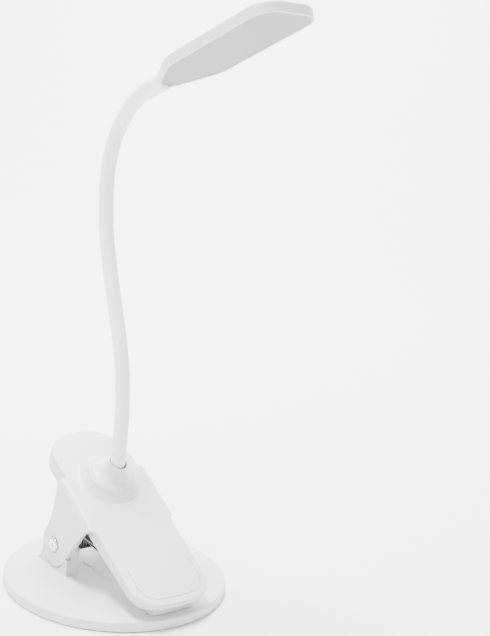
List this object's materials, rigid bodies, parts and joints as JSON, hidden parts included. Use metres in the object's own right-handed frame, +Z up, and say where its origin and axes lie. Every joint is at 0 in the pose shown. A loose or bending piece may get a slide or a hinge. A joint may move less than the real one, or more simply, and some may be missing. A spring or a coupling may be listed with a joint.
{
  "type": "clip-on reading lamp",
  "caption": "Clip on reading lamp: a round base with a spring jaw and lever, a flexible gooseneck and a flat LED paddle head.",
  "frame": {"origin": "centre of the round base's underside, on the surface it stands on", "axes": "+Z up; -Y towards the jaw tip and the lamp head; +Y towards the finger lever; X along the jaw hinge"},
  "size_m": [0.12, 0.1585, 0.3108],
  "materials": {
    "white_plastic": "fine satin moulded ABS",
    "ballast_steel": "zinc plated sheet",
    "pad_rubber": "soft light grey rubber",
    "screw_steel": "plated steel",
    "nut_chrome": "polished chrome plate",
    "spring_steel": "black oxide wire",
    "board_green": "green solder mask",
    "board_white": "white solder mask",
    "black_plastic": "black moulded nylon",
    "clear_light": "phosphor yellow encapsulant",
    "battery_foil": "pouch foil",
    "ferrule_brass": "turned brass",
    "neck_silicone": "smooth matt silicone",
    "core_steel": "wound steel core",
    "diffuser_plastic": "frosted translucent acrylic",
    "reflector_white": "white film"
  },
  "bodies": {
    "base": {"base_cover": "white_plastic", "ballast_plate": "ballast_steel", "base_bottom_cover": "white_plastic", "base_pad": "pad_rubber", "base_screws": "screw_steel", "grip_ribs": "white_plastic", "pivot_bolt": "nut_chrome", "acorn_nut": "nut_chrome", "pivot_washers": "screw_steel", "pivot_sleeve": "white_plastic", "torsion_springs": "spring_steel"},
    "jaw": {"upper_housing": "white_plastic", "lower_housing": "white_plastic", "housing_screws": "screw_steel", "jaw_pad": "pad_rubber", "control_board": "board_green", "board_parts": "black_plastic", "usb_c_socket": "screw_steel", "switch_body": "black_plastic", "touch_electrode": "spring_steel", "charge_light": "clear_light", "battery_pack": "battery_foil", "neck_collar": "white_plastic", "neck_ferrule": "ferrule_brass", "neck_lock_nut": "ferrule_brass", "spring_lever_legs": "spring_steel", "neck_root_sleeve": "neck_silicone", "neck_root_core": "core_steel"},
    "switch": {"switch_knob": "black_plastic"},
    "neck_1": {"neck_sleeve_1": "neck_silicone", "neck_core_1": "core_steel"},
    "neck_2": {"neck_sleeve_2": "neck_silicone", "neck_core_2": "core_steel"},
    "neck_3": {"neck_sleeve_3": "neck_silicone", "neck_core_3": "core_steel"},
    "neck_4": {"neck_sleeve_4": "neck_silicone", "neck_core_4": "core_steel"},
    "neck_5": {"neck_sleeve_5": "neck_silicone", "neck_core_5": "core_steel"},
    "head": {"head_sleeve": "neck_silicone", "head_core": "core_steel", "head_boot": "neck_silicone", "head_shell": "white_plastic", "diffuser": "diffuser_plastic", "diffusing_film": "diffuser_plastic", "reflector_sheet": "reflector_white", "leds": "clear_light", "led_board": "board_white"}
  },
  "joints": [
    {"name": "jaw_hinge", "type": "hinge", "parent": "base", "child": "jaw", "pos_m": [0, 0.0192, 0.0189], "axis": [-1, 0, 0], "range_deg": [0, 32], "stiffness_Nm_per_rad": 0.6, "springref_deg": -57.3},
    {"name": "switch_slide", "type": "slide", "parent": "jaw", "child": "switch", "axis": [0, 0.8763, 0.4818], "range_m": [0, 0.0025]},
    {"name": "root_bend", "type": "hinge", "parent": "jaw", "child": "neck_1", "pos_m": [0, 0.00644, 0.07866], "axis": [1, 0, 0], "range_deg": [-30, 30]},
    {"name": "lower_side_bend", "type": "hinge", "parent": "neck_1", "child": "neck_2", "pos_m": [0, 0.01187, 0.12412], "axis": [0, 0.9559, -0.2938], "range_deg": [-35, 35]},
    {"name": "lower_bend", "type": "hinge", "parent": "neck_2", "child": "neck_3", "pos_m": [0, 0.03141, 0.17391], "axis": [1, 0, 0], "range_deg": [-35, 35]},
    {"name": "upper_bend", "type": "hinge", "parent": "neck_3", "child": "neck_4", "pos_m": [0, 0.03828, 0.22303], "axis": [1, 0, 0], "range_deg": [-35, 35]},
    {"name": "upper_side_bend", "type": "hinge", "parent": "neck_4", "child": "neck_5", "pos_m": [0, 0.03102, 0.24364], "axis": [0, 0.8566, 0.5161], "range_deg": [-35, 35]},
    {"name": "head_tilt", "type": "hinge", "parent": "neck_5", "child": "head", "pos_m": [0, 0.01455, 0.26082], "axis": [1, 0, 0], "range_deg": [-35, 35]}
  ]
}
